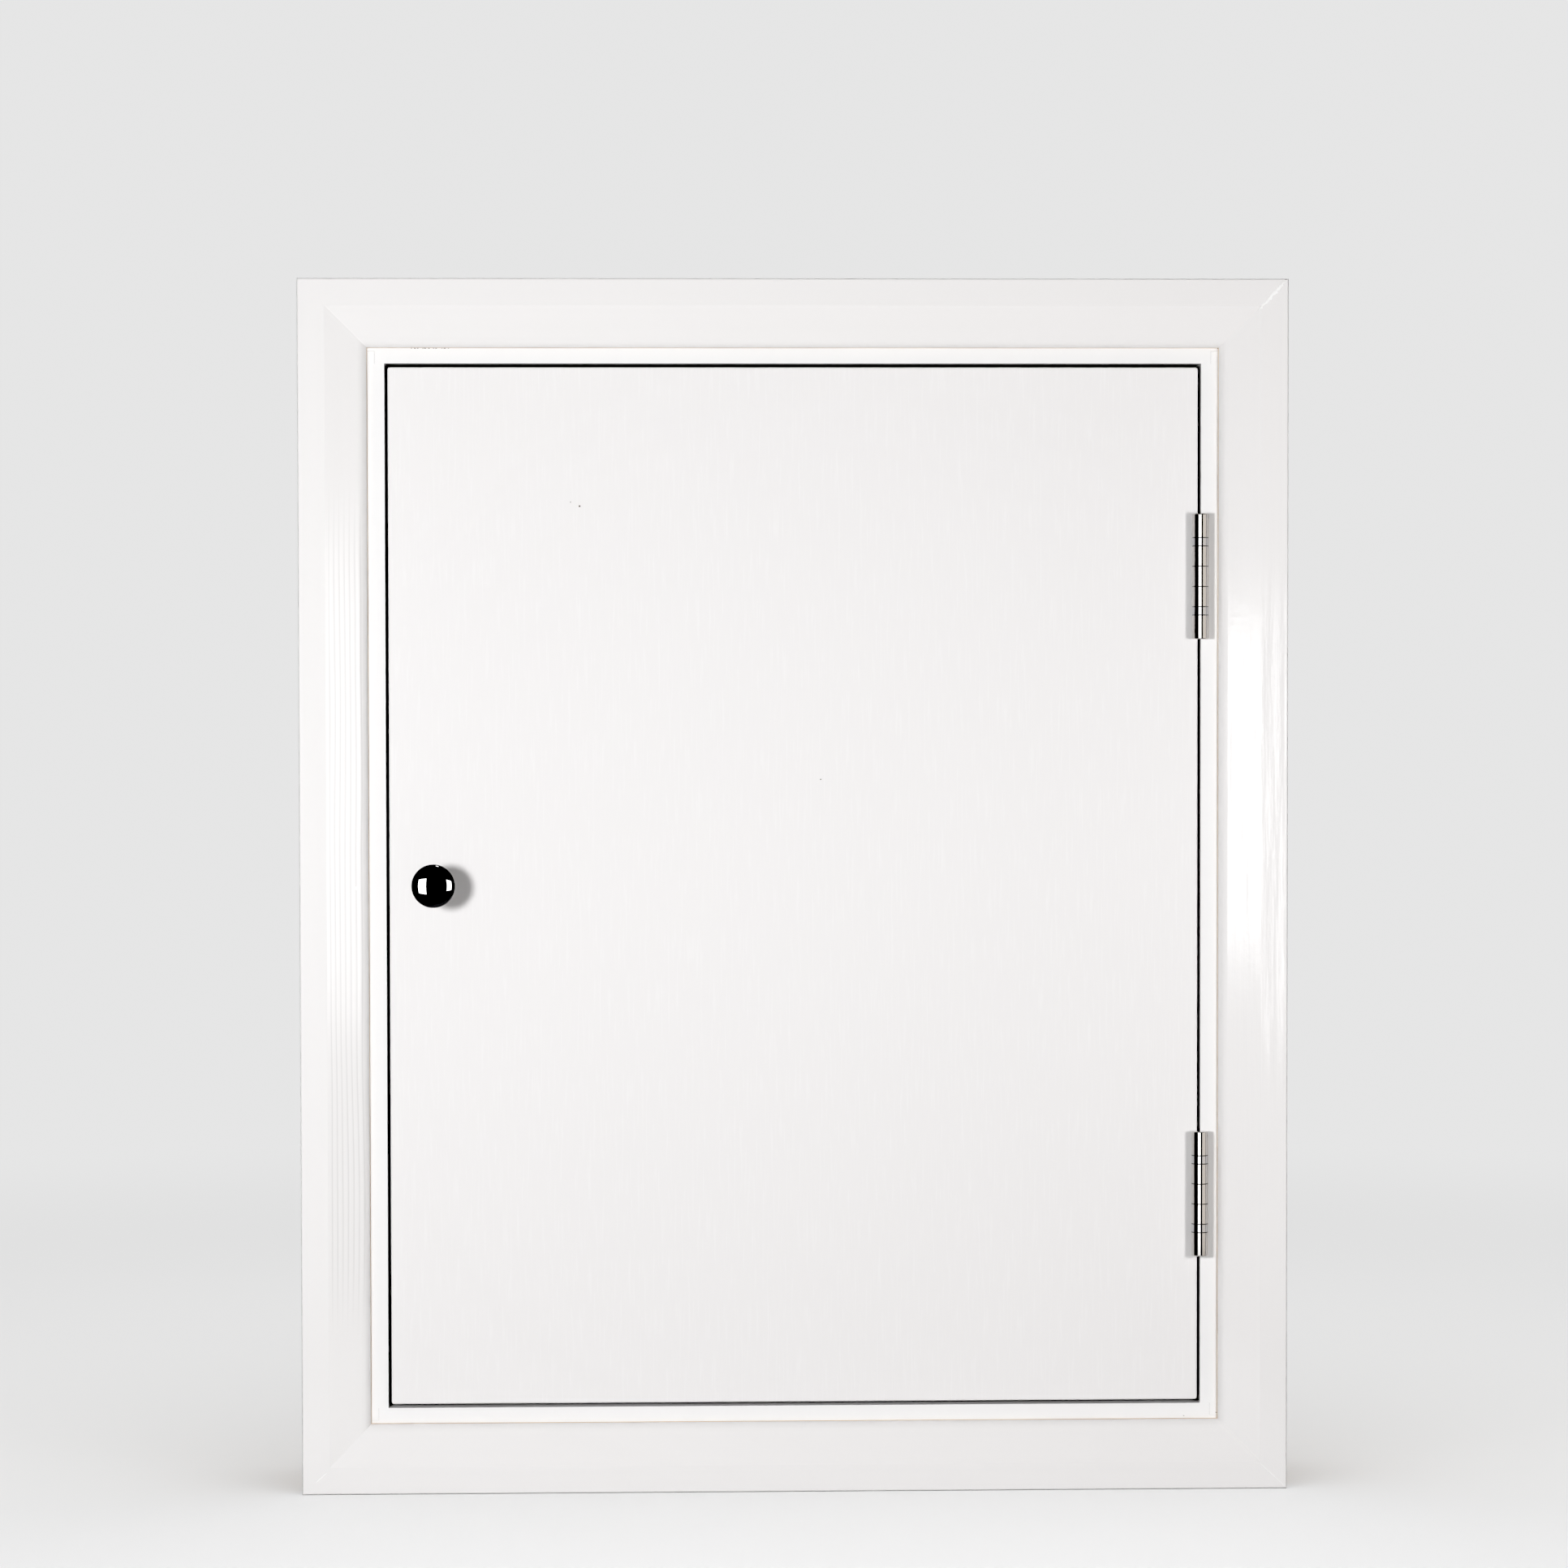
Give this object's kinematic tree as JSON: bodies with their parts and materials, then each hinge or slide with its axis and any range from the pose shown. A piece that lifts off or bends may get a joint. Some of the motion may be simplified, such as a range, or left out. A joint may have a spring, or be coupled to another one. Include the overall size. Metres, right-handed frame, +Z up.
{
  "type": "eaves access door",
  "caption": "Small flush door in a boarded lining with a mitred chamfered architrave, butt hinges, ball knob, magnetic catch, draught seals and an insulated back.",
  "frame": {"origin": "bottom centre of the architrave, on the wall face", "axes": "+X along the wall to the right as seen from the room, +Y into the wall, +Z up"},
  "size_m": [0.801, 0.156, 0.984],
  "materials": {
    "painted_trim": "gloss",
    "painted_lining": "gloss",
    "painted_leaf": "gloss",
    "leaf_core_board": "matte",
    "seal_rubber": "matte",
    "hinge_steel": "polished",
    "bearing_steel": "polished",
    "knob_black": "gloss",
    "zinc_steel": "satin",
    "yellow_zinc": "satin",
    "foil_board": "satin",
    "catch_plastic": "satin",
    "magnet_ferrite": "matte"
  },
  "bodies": {
    "frame": {"architrave_head": "painted_trim", "architrave_sill": "painted_trim", "architrave_left": "painted_trim", "architrave_right": "painted_trim", "architrave_nails": "zinc_steel", "architrave_fillers": "painted_trim", "lining_head": "painted_lining", "lining_sill": "painted_lining", "lining_left": "painted_lining", "lining_right": "painted_lining", "lining_screws": "yellow_zinc", "stop_head": "painted_trim", "stop_sill": "painted_trim", "stop_left": "painted_trim", "stop_right": "painted_trim", "stop_nails": "zinc_steel", "stop_fillers": "painted_trim", "seal_head": "seal_rubber", "seal_sill": "seal_rubber", "seal_left": "seal_rubber", "seal_right": "seal_rubber", "catch_body": "catch_plastic", "catch_magnet": "magnet_ferrite", "catch_poles": "zinc_steel", "catch_screws": "zinc_steel", "upper_hinge_frame_plate": "hinge_steel", "upper_hinge_pin": "hinge_steel", "upper_hinge_tips": "hinge_steel", "upper_hinge_bearing_cups": "bearing_steel", "upper_hinge_frame_screws": "hinge_steel", "lower_hinge_frame_plate": "hinge_steel", "lower_hinge_pin": "hinge_steel", "lower_hinge_tips": "hinge_steel", "lower_hinge_bearing_cups": "bearing_steel", "lower_hinge_frame_screws": "hinge_steel"},
    "door": {"leaf_core": "leaf_core_board", "leaf_front_facing": "painted_leaf", "leaf_back_facing": "painted_leaf", "leaf_lipping_top": "painted_leaf", "leaf_lipping_bottom": "painted_leaf", "leaf_lipping_left": "painted_leaf", "leaf_lipping_right": "painted_leaf", "knob": "knob_black", "knob_bolt": "zinc_steel", "knob_washer": "zinc_steel", "keep_plate": "zinc_steel", "keep_screws": "zinc_steel", "insulation_board": "foil_board", "insulation_washers": "zinc_steel", "insulation_screws": "yellow_zinc", "upper_hinge_door_plate": "hinge_steel", "upper_hinge_bearing_races": "bearing_steel", "upper_hinge_door_screws": "hinge_steel", "lower_hinge_door_plate": "hinge_steel", "lower_hinge_bearing_races": "bearing_steel", "lower_hinge_door_screws": "hinge_steel"},
    "bearing_balls": {"upper_hinge_balls": "bearing_steel", "lower_hinge_balls": "bearing_steel"}
  },
  "joints": [
    {"name": "door_hinge", "type": "hinge", "parent": "frame", "child": "door", "pos_m": [0.33025, -0.00725, 0.492], "axis": [0, 0, 1], "range_deg": [0, 175]},
    {"name": "ball_cage_turn", "type": "hinge", "parent": "frame", "child": "bearing_balls", "pos_m": [0.33025, -0.00725, 0.492], "axis": [0, 0, 1], "range_deg": [0, 87.5]}
  ],
  "couplings": [
    {"joint": "ball_cage_turn", "follows": "door_hinge", "ratio": 0.5}
  ]
}
